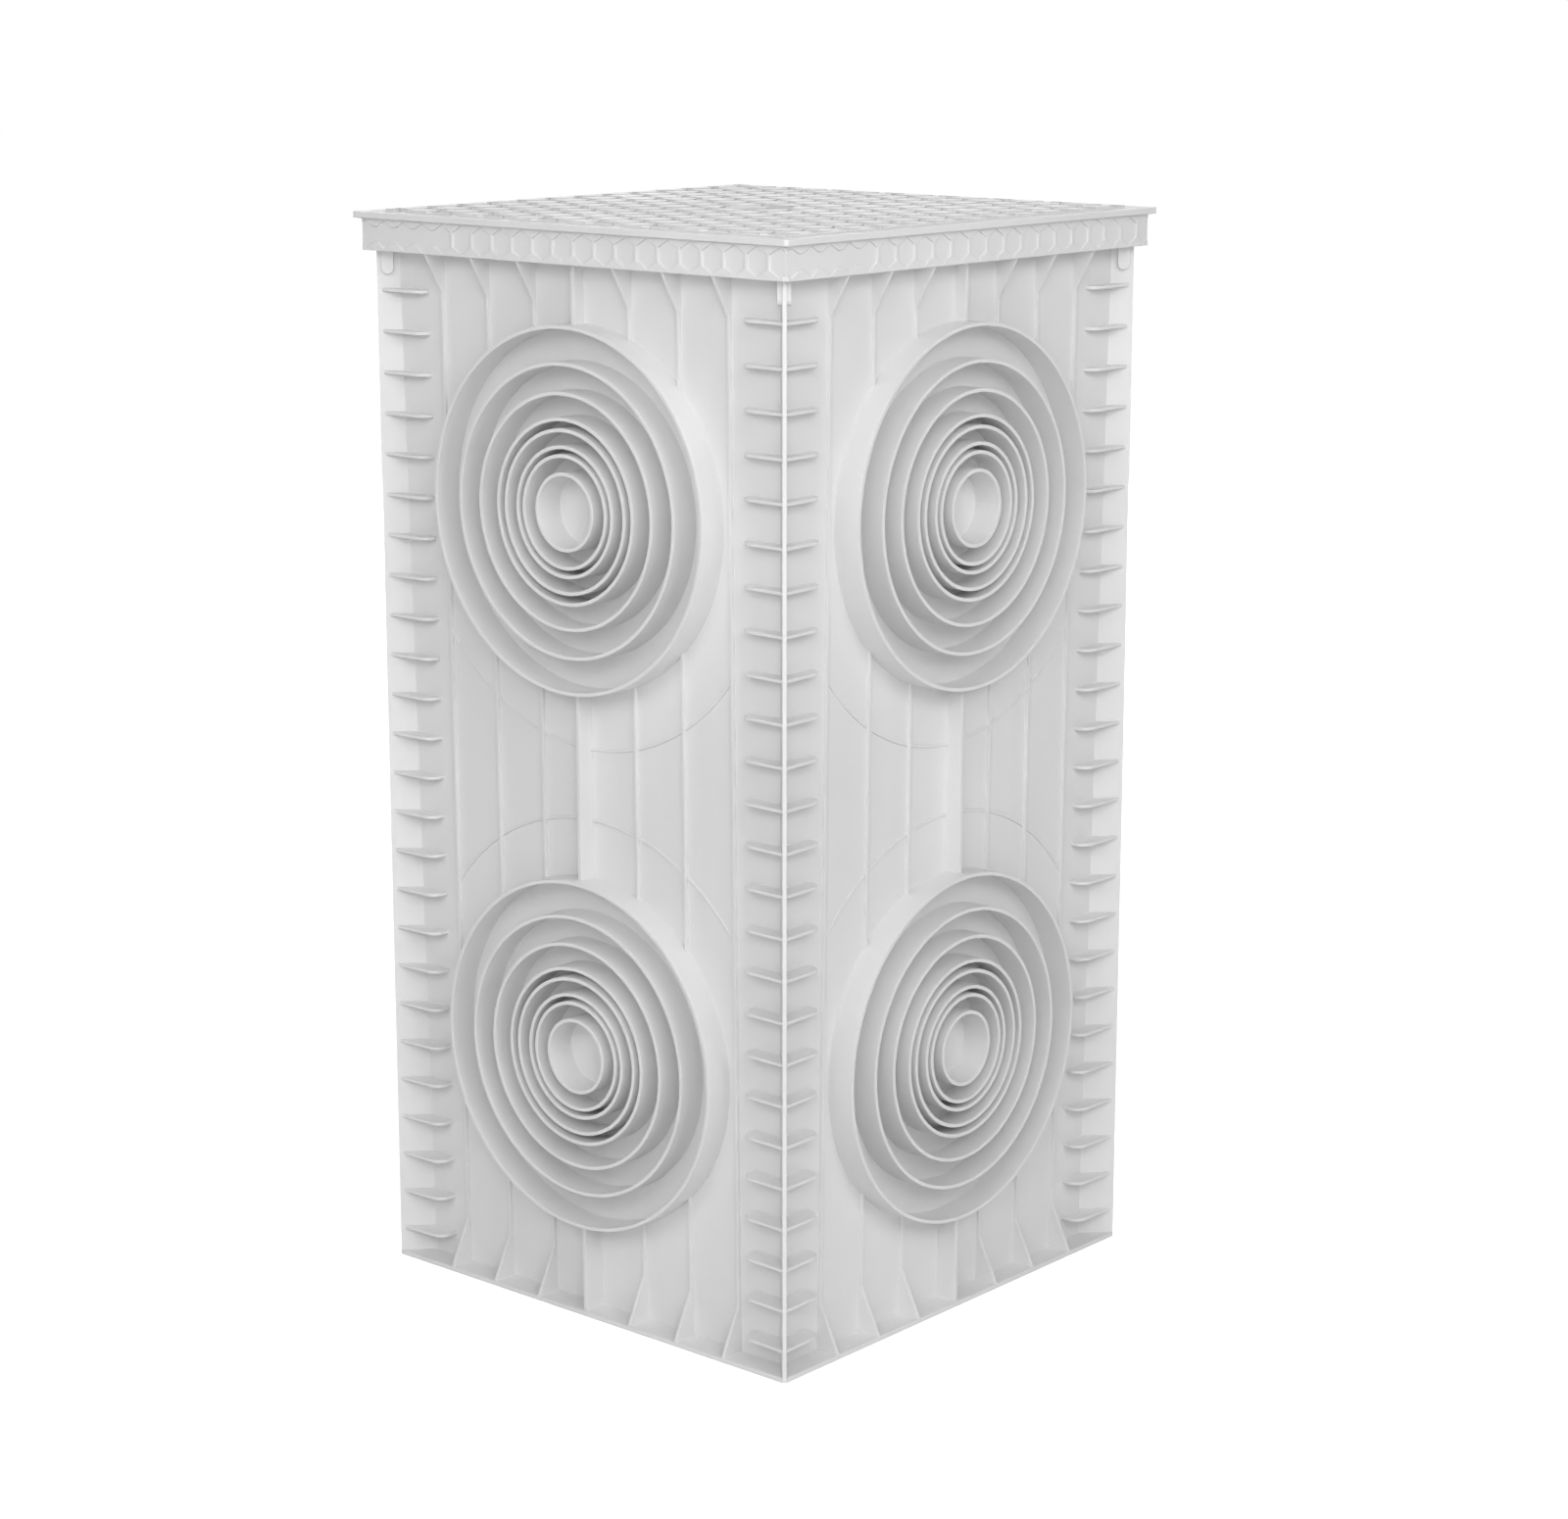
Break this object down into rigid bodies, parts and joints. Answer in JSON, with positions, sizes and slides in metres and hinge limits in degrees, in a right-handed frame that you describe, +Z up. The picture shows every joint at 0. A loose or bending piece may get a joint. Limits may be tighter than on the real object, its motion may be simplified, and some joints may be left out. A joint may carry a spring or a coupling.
{
  "type": "drain inspection chamber",
  "caption": "Square upright drainage chamber with ribbed walls, nested pipe collars on every face and a loose honeycomb lid in its top collar.",
  "frame": {"origin": "centre of the underside of the foot plate", "axes": "+Z up to the lid, +X and +Y square to two of the four equal faces"},
  "size_m": [0.407, 0.407, 0.7815],
  "materials": {
    "body_plastic": "matte",
    "lid_plastic": "matte"
  },
  "bodies": {
    "root": {"body": "body_plastic", "lid": "lid_plastic"}
  },
  "joints": []
}
